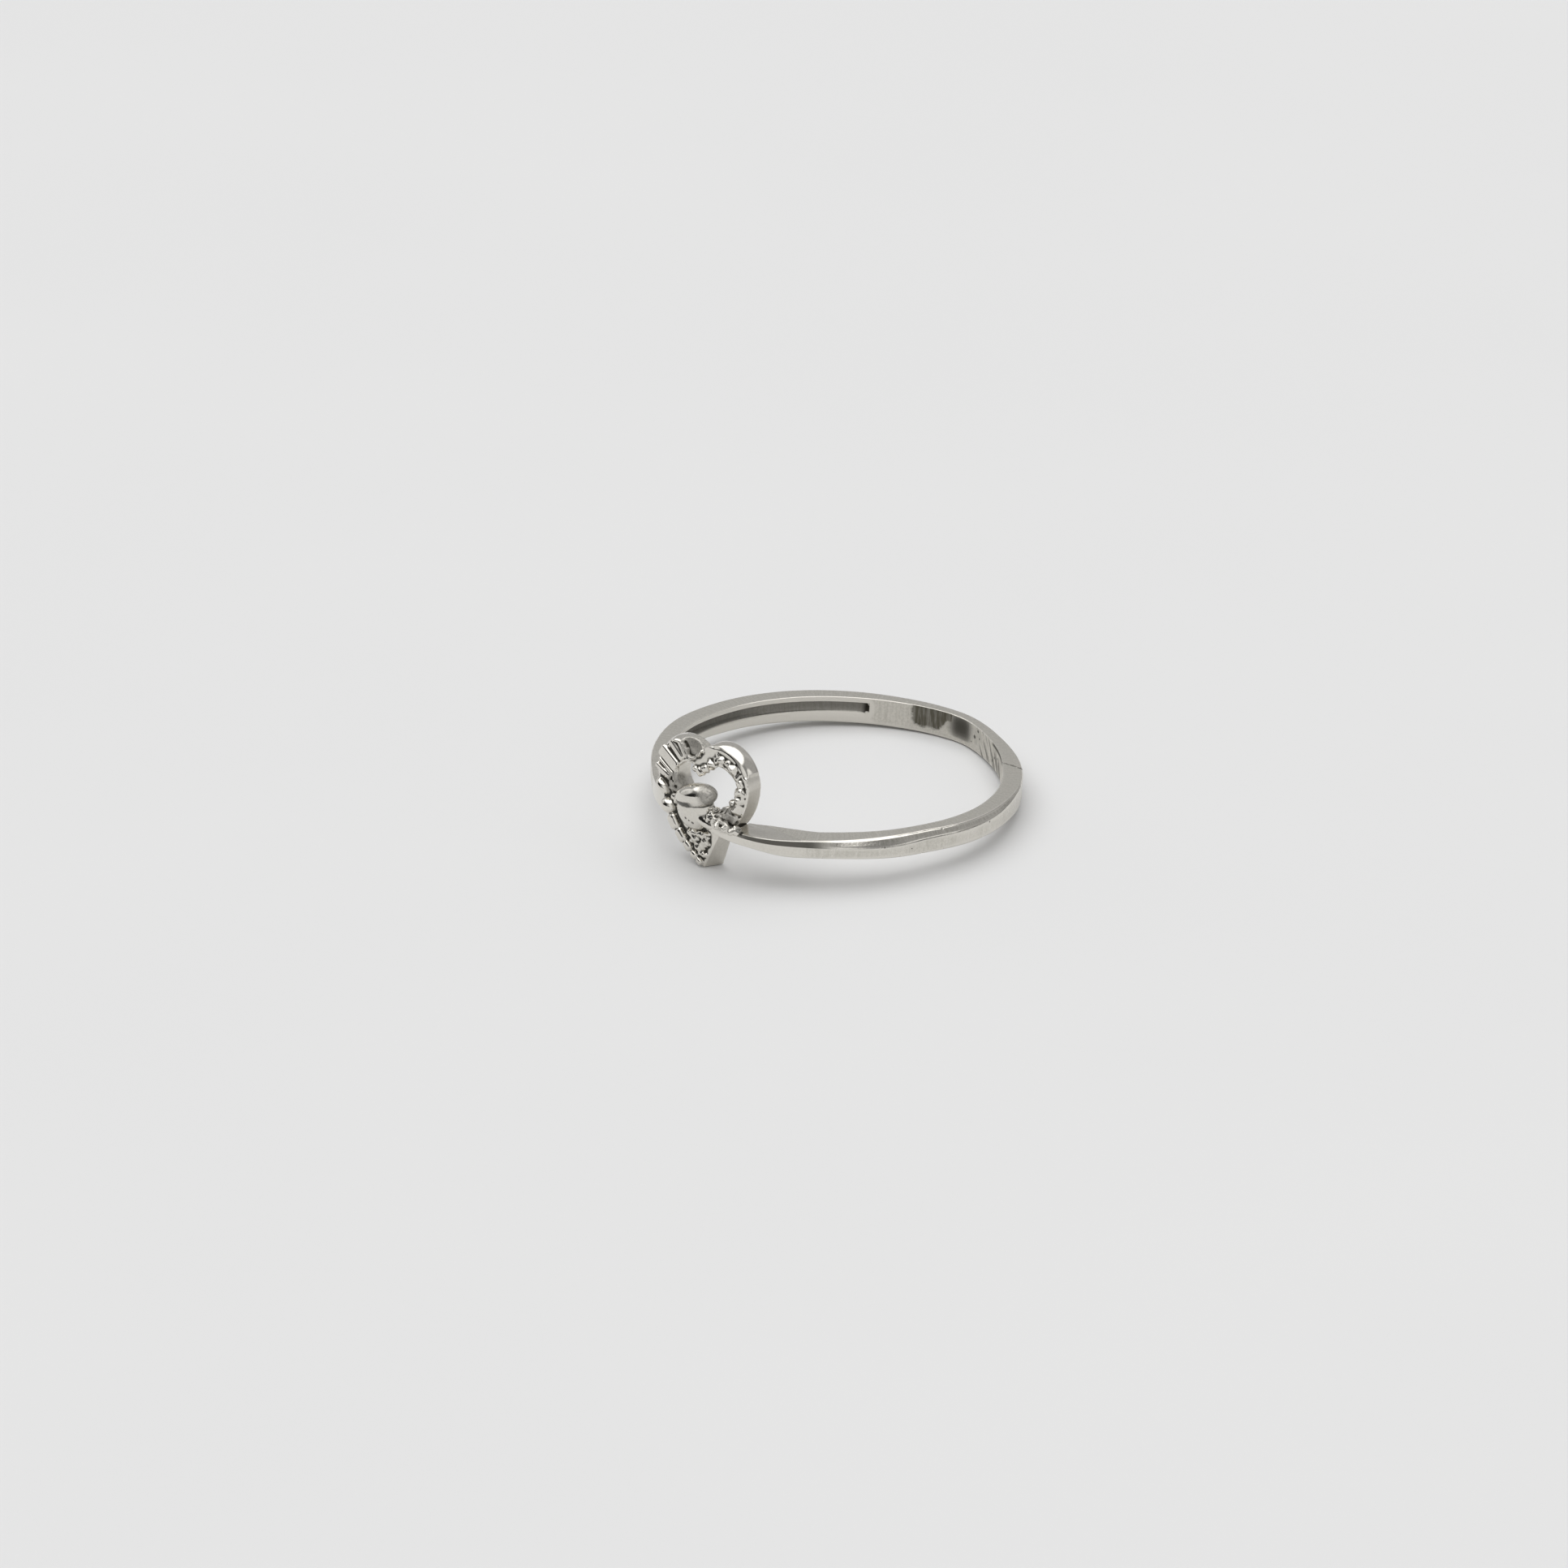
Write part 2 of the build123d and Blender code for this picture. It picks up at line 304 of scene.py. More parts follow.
# Shank
def shank_band(rows, name, steps, fine):
    """A band swept round the finger, its section shaped by a table row at every turn."""
    first, last = rows[0][0], rows[-1][0]
    bm = bmesh.new()
    corners = [(0, 0), (1, 0), (1, bevel_start), (bevel_start, 1), (0, 1)]
    verts = [bm.verts.new((1 + u, 0, v)) for u, v in corners]
    edges = [bm.edges.new((verts[i], verts[i - 1])) for i in range(len(verts))]
    bmesh.ops.bevel(
        bm, geom=verts + edges, offset=section_rounding, offset_type="OFFSET", affect="VERTICES",
        segments=4, profile=0.5, material=-1,
    )
    long_edges = [edge for edge in bm.edges if edge.calc_length() > longest_undivided]
    bmesh.ops.subdivide_edges(bm, edges=long_edges, cuts=fine)
    bmesh.ops.spin(
        bm, geom=bm.edges[:], cent=(0, 0, 0), axis=(0, 0, 1), angle=radians(last - first), steps=steps,
    )
    rims = [edge for edge in bm.edges if edge.is_boundary]
    bmesh.ops.holes_fill(bm, edges=rims)
    for vert in bm.verts:
        x, y, v = vert.co
        u = hypot(x, y) - 1
        turn = round(first + degrees(atan2(y, x)) % 360, 3)
        turn = first if turn > last + 1 else turn
        size = section_sizes(rows, turn)
        stops = (0, bevel_start, 1)
        across = np.interp(u, stops, (0, size["wall"] - size["bevel_across"], size["wall"]))
        rise = np.interp(v, stops, (0, size["width"] - size["bevel_down"], size["width"]))
        radius = finger_radius + size["inside"] + across
        height = size["top"] - size["width"] + rise
        if u < 0.01:
            radius += channel(turn, height)
        vert.co = (radius * sin(radians(turn)), -radius * cos(radians(turn)), height)
    return new_object(bm, name)


def channel(turn, height):
    """How deep the inner wall is sunk there."""
    off_middle = abs(height + channel_below_rim)
    along = (turn - channel_start) * radians(1) * finger_radius
    off_line = hypot(min(along, 0), off_middle)
    edge = channel_width / 2
    inside = 1 - fade(off_line, edge - channel_soft_edge / 2, edge + channel_soft_edge / 2)
    run_out = 1 - fade(turn, channel_end - channel_run_out, channel_end)
    return channel_depth * inside * run_out


# Heart
lobe_radius = 0.293 * heart_width
lobe_up = 0.168 * heart_height
right_lobe = (half_width - lobe_radius, lobe_up)
left_lobe = (lobe_radius - half_width, lobe_up)
cleft = (0.03 * half_width, 0.386 * heart_height)
right_side = on_circle(right_lobe, lobe_radius, -5)
left_side = on_circle(left_lobe, lobe_radius, 185)
right_knee = (0.32 * half_width, -0.260 * heart_height)
point_right = (0.02 * half_width, -0.535 * heart_height)
point_left = (-0.13 * half_width, -0.515 * heart_height)

hole_width = 4.25
hole_height = 3.7
hole_aside = 0.57
hole_above_middle = 0.42
hole_lobe_radius = 0.275 * hole_width
hole_lobe_up = hole_above_middle + 0.4 * hole_height - hole_lobe_radius
hole_right = (hole_aside + hole_width / 2 - hole_lobe_radius, hole_lobe_up)
hole_left = (hole_aside - hole_width / 2 + hole_lobe_radius, hole_lobe_up)
hole_cleft = (hole_aside - 0.13 * hole_width, hole_above_middle + 0.27 * hole_height)
hole_point = (hole_aside - 0.06 * hole_width, hole_above_middle - hole_height / 2)


def heart_outline():
    """The heart's edge: two lobes, a full left flank and a right flank that turns to the point."""
    points = arc(cleft, on_circle(left_lobe, lobe_radius, 115), left_side, 40)
    points += arc(left_side, (-0.78 * half_width, -0.21 * heart_height), point_left, 24)
    points += [Vector((*point_left, 0)), Vector((*point_right, 0))]
    points += arc(right_knee, (0.72 * half_width, -0.13 * heart_height), right_side, 16)
    points += arc(right_side, on_circle(right_lobe, lobe_radius, 75), cleft, 40)
    return points


def hole_outline():
    """The opening's edge."""
    right = on_circle(hole_right, hole_lobe_radius, 0)
    left = on_circle(hole_left, hole_lobe_radius, 180)
    flank_up = hole_above_middle - 0.2 * hole_height
    points = arc(hole_cleft, on_circle(hole_left, hole_lobe_radius, 100), left, 24)
    points += arc(left, (hole_aside - 0.34 * hole_width, flank_up), hole_point, 16)
    points += arc(hole_point, (hole_aside + 0.31 * hole_width, flank_up), right, 16)
    points += arc(right, on_circle(hole_right, hole_lobe_radius, 80), hole_cleft, 24)
    return points


def plate(outline, low, high, layers):
    """A flat plate of that outline between two levels, with rows of faces up its edge."""
    bm = bmesh.new()
    face = bm.faces.new([bm.verts.new((point.x, point.y, low)) for point in outline])
    made = bmesh.ops.extrude_face_region(bm, geom=[face], use_keep_orig=True)
    top = [item for item in made["geom"] if isinstance(item, bmesh.types.BMVert)]
    bmesh.ops.translate(bm, verts=top, vec=(0, 0, high - low))
    upright = [edge for edge in bm.edges if abs(edge.verts[0].co.z - edge.verts[1].co.z) > 0.1]
    bmesh.ops.subdivide_edges(bm, edges=upright, cuts=layers, use_grid_fill=True)
    return bm


def swell_right_lobe(bm):
    """The right lobe's edge as a pillow, which ends in a crease over the plain flank."""
    for vert in bm.verts:
        across, up = vert.co.x - right_lobe[0], vert.co.y - right_lobe[1]
        angle = degrees(atan2(up, across))
        radius = hypot(across, up)
        if radius < lobe_radius - 0.02 or not pillow_start[0] < angle < pillow_end[1]:
            continue
        level = vert.co.z / heart_depth
        roundness = max(1 - ((level - pillow_level) / (1 - pillow_level)) ** 2, 0) ** 0.5
        share = fade(angle, *pillow_start) * (1 - fade(angle, *pillow_end))
        swollen = pillow_front + (pillow_middle - pillow_front) * roundness
        stretch = (lobe_radius + (swollen - lobe_radius) * share) / radius
        vert.co.x = right_lobe[0] + across * stretch
        vert.co.y = right_lobe[1] + up * stretch


def shape_left_edge(bm):
    """The left flank's front edge set back, so that the ribs reach past it."""
    for vert in bm.verts:
        angle = degrees(atan2(vert.co.y, vert.co.x)) % 360
        radius = hypot(vert.co.x, vert.co.y)
        along_flank = fade(angle, 104, 122) * (1 - fade(angle, 252, 262))
        share = along_flank * fade(vert.co.z / heart_depth, 0.35, 0.95)
        vert.co.x -= vert.co.x / radius * edge_set_back * share
        vert.co.y -= vert.co.y / radius * edge_set_back * share


def slant_point(bm):
    """The point's right wall slants, further left at the front than at the back."""
    for vert in bm.verts:
        share = 1 - fade(vert.co.y, -2.3, -1.5)
        if vert.co.x > -0.35:
            vert.co.x += share * (0.12 - 0.50 * vert.co.z / heart_depth)


def ball(bm, place, size, turned=None):
    """A ball stretched to a size, turned and put in its place."""
    matrix = Matrix.Translation(place) @ (turned or Matrix()) @ Matrix.Diagonal((*size, 1))
    bmesh.ops.create_icosphere(bm, subdivisions=3, radius=0.5, matrix=matrix)


def bar(bm, place, size, turned, rounding=0.28):
    """A bar whose edges are rounded by a share of its smallest size."""
    made = bmesh.ops.create_cube(bm, size=1, matrix=Matrix.Diagonal((*size, 1)))
    edges = list({edge for vert in made["verts"] for edge in vert.link_edges})
    rounded = bmesh.ops.bevel(
        bm, geom=edges, offset=rounding * min(size), offset_type="OFFSET", affect="EDGES",
        segments=4, profile=0.5, material=-1,
    )
    verts = list({vert for face in rounded["faces"] for vert in face.verts})
    bmesh.ops.transform(bm, matrix=Matrix.Translation(place) @ turned, verts=verts)


def add_ribs(bm):
    """Ribs across the left limb that turn to knobs and beads down to the point."""
    for row in rib_rows:
        rib = dict(zip(rib_columns, row))
        depth = max(rib_root, rib["rise"])
        place = (rib["across"], rib["up"], heart_depth + (rib["rise"] - depth) / 2)
        size = (rib["long"], rib["broad"], rib["rise"] + depth)
        bar(bm, place, size, Matrix.Rotation(radians(rib["lean"]), 4, "Z"), rib["rounding"])
    for row in knob_rows:
        knob = dict(zip(knob_columns, row))
        place = (knob["across"], knob["up"], heart_depth)
        size = (knob["long"], knob["broad"], 2 * knob["rise"])
        ball(bm, place, size, Matrix.Rotation(radians(knob["lean"]), 4, "Z"))


def add_limb_grains(bm, random):
    """Small grains in the crevice between the left limb's ribs and the opening."""
    count, scatter, sizes = limb_grains
    for start, end in zip(limb_line, limb_line[1:]):
        for _ in range(count):
            share = random.random()
            x, y = (start[i] + (end[i] - start[i]) * share + random.gauss(0, scatter) for i in range(2))
            size = [random.uniform(*sizes) for _ in range(3)]
            place = (x, y, heart_depth + random.uniform(-0.08, 0.08))
            bar(bm, place, size, turned_at_random(random))


def add_ridge(bm):
    """The scalloped ridge, a string of balls that melt into one another."""
    for start, end in zip(ridge_line, ridge_line[1:]):
        for step in range(3):
            x, y = (start[i] + (end[i] - start[i]) * step / 3 for i in range(2))
            thickness = ridge_thickness * (1 + 0.3 * sin(11 * x + 6 * y))
            ball(bm, (x, y, heart_depth + 0.04 * sin(7 * x)), (thickness, thickness, 1.7 * thickness))


def turned_at_random(random):
    """A turn about all three axes."""
    return Euler([random.uniform(0, pi) for _ in range(3)]).to_matrix().to_4x4()


def add_rim_beads(bm, random):
    """Nuggets round the opening's edge, with smaller grains in the crevices beside them."""
    for row in rim_bead_rows:
        bead = dict(zip(rim_bead_columns, row))
        size = [bead["size"] * random.uniform(0.85, 1.15) for _ in range(3)]
        bar(bm, (bead["across"], bead["up"], heart_depth - 0.06), size, turned_at_random(random))
        for _ in range(2):
            grain = bead["size"] * random.uniform(0.35, 0.6)
            spread = 0.6 * bead["size"]
            place = (
                bead["across"] + random.uniform(-spread, spread),
                bead["up"] + random.uniform(-spread, spread),
                heart_depth + random.uniform(-0.15, 0.06),
            )
            bar(bm, place, (grain, grain, grain), turned_at_random(random))


def add_point_grains(bm, random):
    """Rough grains strewn over the face above the point."""
    first, second, third = (Vector(corner) for corner in grain_corners)
    count, scatter, sizes = point_grains
    for _ in range(count):
        a, b = random.random(), random.random()
        if a + b > 1:
            a, b = 1 - a, 1 - b
        flat = first + (second - first) * a + (third - first) * b
        size = [random.uniform(*sizes) for _ in range(3)]
        place = (flat.x, flat.y, heart_depth + random.uniform(-scatter, scatter))
        bar(bm, place, size, turned_at_random(random))


def add_strand(bm, random):
    """The grainy strand along the opening's foot and out over the arm."""
    count, scatter, sizes = strand_grains
    for start, end in zip(strand_line, strand_line[1:]):
        for _ in range(count):
            share = random.random()
            place = [start[i] + (end[i] - start[i]) * share + random.gauss(0, scatter) for i in range(3)]
            size = [random.uniform(*sizes) for _ in range(3)]
            bar(bm, place, size, turned_at_random(random))


def add_egg(bm, place, size, tilt):
    """A smooth egg in the ring's frame, tilted about the way the heart faces."""
    turned = Matrix.Rotation(radians(tilt), 4, "Y")
    matrix = Matrix.Translation(place) @ turned @ Matrix.Diagonal((*size, 1))
    bmesh.ops.create_icosphere(bm, subdivisions=5, radius=0.5, matrix=matrix)


def add_bud(bm):
    """The bud: a body that flows softly into the arm, under a dome with a crisp crease."""
    soft = bmesh.new()
    for part in bud_body_parts:
        add_egg(soft, *part)
    body = new_object(soft, "bud_body")
    with_modifiers(
        body,
        ("REMESH", {"mode": "VOXEL", "voxel_size": bud_voxel, "adaptivity": 0.0}),
        ("SMOOTH", {"factor": 0.5, "iterations": 10}),
    )
    bm.from_mesh(body.data)
    bpy.data.objects.remove(body)
    add_egg(bm, *dome_part)


def heart_plate():
    """The heart's plate with its swollen right edge, its opening and the left lobe's hollow."""
    bm = plate(heart_outline(), 0, heart_depth, 7)
    swell_right_lobe(bm)
    shape_left_edge(bm)
    slant_point(bm)
    heart = new_object(bm, "heart")
    cut(heart, new_object(plate(hole_outline(), -1, heart_depth + 1, 1), "opening"))
    bm = bmesh.new()
    hollow = Matrix.Translation(hollow_middle) @ Matrix.Diagonal((*hollow_half_sizes, 1))
    bmesh.ops.create_icosphere(bm, subdivisions=4, radius=1, matrix=hollow)
    return cut(heart, new_object(bm, "hollow"))


def cast_front():
    """The heart, its relief, the bud and the shoulder, melted into one rough-cast skin."""
    random = Random(7)
    plate_piece = heart_plate()
    bm = bmesh.new()
    bm.from_mesh(plate_piece.data)
    bpy.data.objects.remove(plate_piece)
    add_ribs(bm)
    add_limb_grains(bm, random)
    add_ridge(bm)
    add_rim_beads(bm, random)
    add_point_grains(bm, random)
    add_strand(bm, random)
    bmesh.ops.transform(bm, matrix=heart_frame, verts=bm.verts)
    add_bud(bm)
    shoulder = shank_band(shoulder_rows, "shoulder", 40, 4)
    bm.from_mesh(shoulder.data)
    bpy.data.objects.remove(shoulder)
    front = new_object(bm, "front")
    with_modifiers(
        front,
        ("REMESH", {"mode": "VOXEL", "voxel_size": voxel, "adaptivity": 0.0}),
        ("SMOOTH", {"factor": 0.5, "iterations": 3}),
    )
    return front


def lay(mesh):
    """Puts a mesh from the ring's frame, in millimetres, where the part lies, in metres."""
    mesh.transform(ring_frame @ Matrix.Scale(MILLIMETRE, 4))


def note_surface(mesh):
    """Keeps for the finish how deep each point lies in a crevice and which way it faces."""
    bm = bmesh.new()
    bm.from_mesh(mesh)
    places = [vert.co.copy() for vert in bm.verts]
    normals = [vert.normal.copy() for vert in bm.verts]
    for _ in range(crevice_reach):
        bmesh.ops.smooth_vert(
            bm, verts=bm.verts, factor=0.5, use_axis_x=True, use_axis_y=True, use_axis_z=True,
        )
    smoothed = [vert.co.copy() for vert in bm.verts]
    bm.free()
    crevice = [(after - place).dot(normal) for after, place, normal in zip(smoothed, places, normals)]
    inward = [-normal.xy.dot(place.xy.normalized()) for place, normal in zip(places, normals)]
    upward = [normal.z for normal in normals]
    for name, values in (("crevice", crevice), ("inward", inward), ("upward", upward)):
        attribute = mesh.attributes.new(name, "FLOAT", "POINT")
        attribute.data.foreach_set("value", values)


def casting():
    """The whole ring as one skin."""
    ring = shank_band(shank_rows, "heart_ring_casting", 360, 8)
    front = cast_front()
    with_modifiers(ring, ("BOOLEAN", {"object": front, "operation": "UNION", "solver": "MANIFOLD"}))
    bpy.data.objects.remove(front)
    note_surface(ring.data)
    lay(ring.data)
    ring.data.shade_smooth()
    ring.data.set_sharp_from_angle(angle=radians(50))
    return ring


# Finish
bright_silver = (0.73, 0.705, 0.65, 1)
dull_silver = (0.54, 0.52, 0.465, 1)
# black of soot and tarnish, also used for the painted shade and painted dark reflections
soot_and_shade_black = (0.035, 0.032, 0.024, 1)
stain_brown = (0.075, 0.068, 0.046, 1)

# Bands of the finish, in millimetres round the back: middle, reach and soft edge
stain_band = (-1.45, 1.0, 0.22)
wear_band = (3.7, 1.9, 0.6)
rim_line_band = (5.0, 1.2, 0.4)
# painted dark reflections along the bevel's edges
bevel_reflection_band = (12.5, 4.6, 1.0)
# painted dark reflection along the arm's bevel
arm_reflection_band = (22.8, 1.2, 1.4)

# Small marks of the finish, each with its turn, its height or radius and its size
inner_spots = (
    (170.5, -0.62, 0.15), (168.4, -0.20, 0.12), (167.2, -0.55, 0.08), (155.0, -0.95, 0.16),
    (153.0, -0.70, 0.10), (172.5, -1.00, 0.06), (149.0, -0.50, 0.09),
)
outer_pits = (
    (57.3, -0.45, 0.06), (95.0, -0.35, 0.06), (34.5, -0.30, 0.07), (77.0, -0.05, 0.07),
    (66.0, -0.70, 0.04), (359.7, -0.01, 0.09), (0.8, -0.08, 0.06), (1.9, -0.15, 0.09),
    (356.5, 0.20, 0.05),
)
face_glints = (
    (242.9, 8.80, 0.14), (226.8, 9.00, 0.16), (200.1, 9.10, 0.18), (192.6, 9.25, 0.14),
    (184.4, 9.40, 0.12), (173.4, 9.00, 0.16), (149.9, 9.12, 0.09), (117.7, 9.76, 0.08),
)

# Where the dome turns under on its left, the middle of the painted shade there
dome_shade_middle = (-0.35, -heart_front - 0.85, 0.75)

# Rough dull patches of the cast front: across, up, level and size in the heart's plane
rough_patches = (
    (-0.48, 2.75, 0.60, 1.00), (1.10, 0.62, 1.45, 0.80),
    (-1.75, 0.60, 0.90, 0.75), (1.90, -0.60, 1.20, 0.80),
)


class Wire:
    """A shader socket. An expression on wires adds its Math nodes."""

    def __init__(self, shader, socket):
        self.shader = shader
        self.socket = socket

    def math(self, operation, *values):
        return self.shader.node("Math", {"operation": operation}, dict(enumerate(values)))

    def __add__(self, other):
        return self.math("ADD", self, other)

    __radd__ = __add__

    def __sub__(self, other):
        return self.math("SUBTRACT", self, other)

    def __rsub__(self, other):
        return self.math("SUBTRACT", other, self)

    def __mul__(self, other):
        return self.math("MULTIPLY", self, other)

    __rmul__ = __mul__

    def __abs__(self):
        return self.math("ABSOLUTE", self)

    def at_least(self, other):
        """The greater of the two at every point."""
        return self.math("MAXIMUM", self, other)

    def between(self, low, high):
        """0 at the low edge and 1 at the high one, smooth between them."""
        return self.shader.node(
            "MapRange", {"interpolation_type": "SMOOTHSTEP"},
            {"Value": self, "From Min": low, "From Max": high},
        )

    def near(self, middle, reach, soft):
        """1 within a reach of the middle, fading to 0 over the soft distance."""
        return 1 - abs(self - middle).between(reach, reach + soft)


class Shader:
    """A node tree that is written as expressions."""

    def __init__(self, tree):
        self.tree = tree
        tree.nodes.clear()

    def node(self, kind, settings=None, inputs=None, output=0):
        """A node with its settings and inputs, as the wire of one output if it has any."""
        node = self.tree.nodes.new("ShaderNode" + kind)
        for name, value in (settings or {}).items():
            setattr(node, name, value)
        for name, value in (inputs or {}).items():
            if isinstance(value, Wire):
                self.tree.links.new(value.socket, node.inputs[name])
            else:
                node.inputs[name].default_value = value
        return Wire(self, node.outputs[output]) if node.outputs else node

    def noise(self, place, scale, detail, roughness):
        inputs = {"Vector": place, "Scale": scale, "Detail": detail, "Roughness": roughness}
        return self.node("TexNoise", {}, inputs)

    def attribute(self, name):
        return self.node("Attribute", {"attribute_name": name}, {}, "Fac")

    def point(self, x, y, z):
        return self.node("CombineXYZ", {}, {"X": x, "Y": y, "Z": z})

    def distance(self, place, point):
        return self.node("VectorMath", {"operation": "DISTANCE"}, {0: place, 1: point}, 1)

    def mix(self, factor, first, second):
        """Two colours mixed, by the colour sockets of the Mix node."""
        return self.node("Mix", {"data_type": "RGBA"}, {"Factor": factor, 6: first, 7: second}, 2)


class Skin:
    """Where a point of the casting lies in the ring's frame and which way it faces there."""

    def __init__(self, shader):
        here = shader.node("TexCoord", {}, {}, "Object")
        to_ring = Matrix.Scale(1 / MILLIMETRE, 4) @ ring_frame.inverted()
        self.place = shader.node("Mapping", {}, {
            "Vector": here,
            "Location": to_ring.to_translation(),
            "Rotation": ring_frame.inverted().to_euler(),
            "Scale": (1 / MILLIMETRE,) * 3,
        })
        x, y, z = (shader.node("SeparateXYZ", {}, {"Vector": self.place}, axis) for axis in range(3))
        self.z = z
        self.radius = x.math("SQRT", x * x + y * y)
        self.round_back = x.math("ARCTAN2", x, y) * finger_radius
        self.on_wall_map = shader.point(self.round_back, z, 0.0)
        self.on_face_map = shader.point(self.round_back, self.radius, 0.0)
        self.crevice = shader.attribute("crevice")
        self.inward = shader.attribute("inward")
        self.upward = shader.attribute("upward")
        self.on_inner = self.inward.between(0.4, 0.8)
        self.on_outer = (0 - self.inward).between(0.4, 0.8)
        self.on_walls = 1 - abs(self.upward).between(0.35, 0.6)
        self.on_face = self.upward.between(0.93, 0.99)
        self.on_shank = y.between(-8.6, -8.2)
        self.fine = shader.noise(self.place, 9.0, 4.0, 0.6)
        self.cloud = shader.noise(self.place, 1.6, 3.0, 0.5)


def spots(shader, mapped, rows):
    """1 on the small round marks of a table and 0 off them all."""
    covered = 0.0
    for turn, level, size in rows:
        middle = ((180 - turn) * radians(1) * finger_radius, level, 0)
        spot = 1 - shader.distance(mapped, middle).between(size * 0.4, size)
        covered = spot.at_least(covered)
    return covered


def rough_area(shader, at):
    """1 in the middle of the rough patches, fading to 0 at their edges."""
    covered = 0.0
    for across, up, level, size in rough_patches:
        middle = heart_frame @ Vector((across, up, level))
        patch = 1 - shader.distance(at.place, middle).between(size * 0.55, size)
        covered = patch.at_least(covered)
    return covered


def channel_area(at):
    """1 in the channel, from its blind end on."""
    in_channel = at.on_inner * at.z.near(-channel_below_rim, channel_width / 2, 0.08)
    return in_channel * (1 - at.round_back.between(-5.3, -5.0))


def soot_and_painted_shade(shader, at, rough):
    """Soot in the rough patches, and painted shade where the dome turns under on its left."""
    in_patches = rough * (0.30 + 0.40 * at.fine.between(0.35, 0.75))
    # painted shade on the dome's underside, in place of its dark reflection of the shadowed table
    dome_painted_shade = 1 - shader.distance(at.place, dome_shade_middle).between(0.55, 0.95)
    return in_patches.at_least(dome_painted_shade * (0 - at.upward).between(0.22, 0.40) * 0.95)


def solder_stain(shader, at):
    """The ragged, streaky solder stain on the inner wall."""
    ragged = 0.5 * (at.cloud - 0.5) + 0.4 * (at.fine - 0.5)
    above_foot = at.z + 1.25 - 0.55 * at.round_back.between(-1.2, -0.5) + ragged
    stain = at.on_inner * (at.round_back + ragged).near(*stain_band) * above_foot.between(0.0, 0.25)
    streaks = shader.noise(shader.point(at.round_back * 3.2, at.z * 0.35, 0.0), 1.0, 3.0, 0.65)
    return stain * (0.72 + 0.28 * streaks.between(0.35, 0.55))


def inner_wear(shader, at):
    """Scrapes beside the stain and the dark line under the rim there."""
    scrapes_place = shader.point(at.round_back * 3.0 + at.z * 2.4, at.z * 0.5, 3.0)
    scrapes = shader.noise(scrapes_place, 1.0, 2.0, 0.55).between(0.52, 0.62)
    scrapes = scrapes * at.round_back.near(*wear_band) * 0.65
    rim_line = at.round_back.near(*rim_line_band) * at.z.between(-0.22, -0.12) * 0.85
    return at.on_inner * scrapes.at_least(rim_line)


def seam_line(at):
    """The fine slanting seam over the shank's upper face at the back."""
    seam = (at.round_back - at.radius * 0.744 + 0.6 * (at.fine - 0.5)).near(0.0, 0.03, 0.06)
    return seam * at.z.between(-0.45, -0.25) * at.radius.between(8.36, 8.42) * 0.9


def bevel_painted_reflections(at):
    """Painted dark reflections along both edges of the shank's bevel on the near side."""
    on_edges = at.upward.near(0.90, 0.02, 0.03).at_least(at.upward.near(0.38, 0.05, 0.06))
    lines = on_edges * at.on_shank * (0 - at.inward).between(0.05, 0.15)
    return lines * at.round_back.near(*bevel_reflection_band) * (0.35 + 0.65 * at.cloud.between(0.35, 0.6))


def arm_edge_painted_reflection(at):
    """A painted dark reflection along the arm's bevel beside the heart, and painted shade that dims the
    reflection on its upper rounding.
    """
    edge = at.upward.near(0.45, 0.22, 0.08).at_least(at.upward.near(0.82, 0.155, 0.01) * 0.35)
    edge = edge * (0.2 - at.inward).between(0.0, 0.2) * at.round_back.near(*arm_reflection_band)
    return edge * (1 - at.z.between(0.30, 0.40))


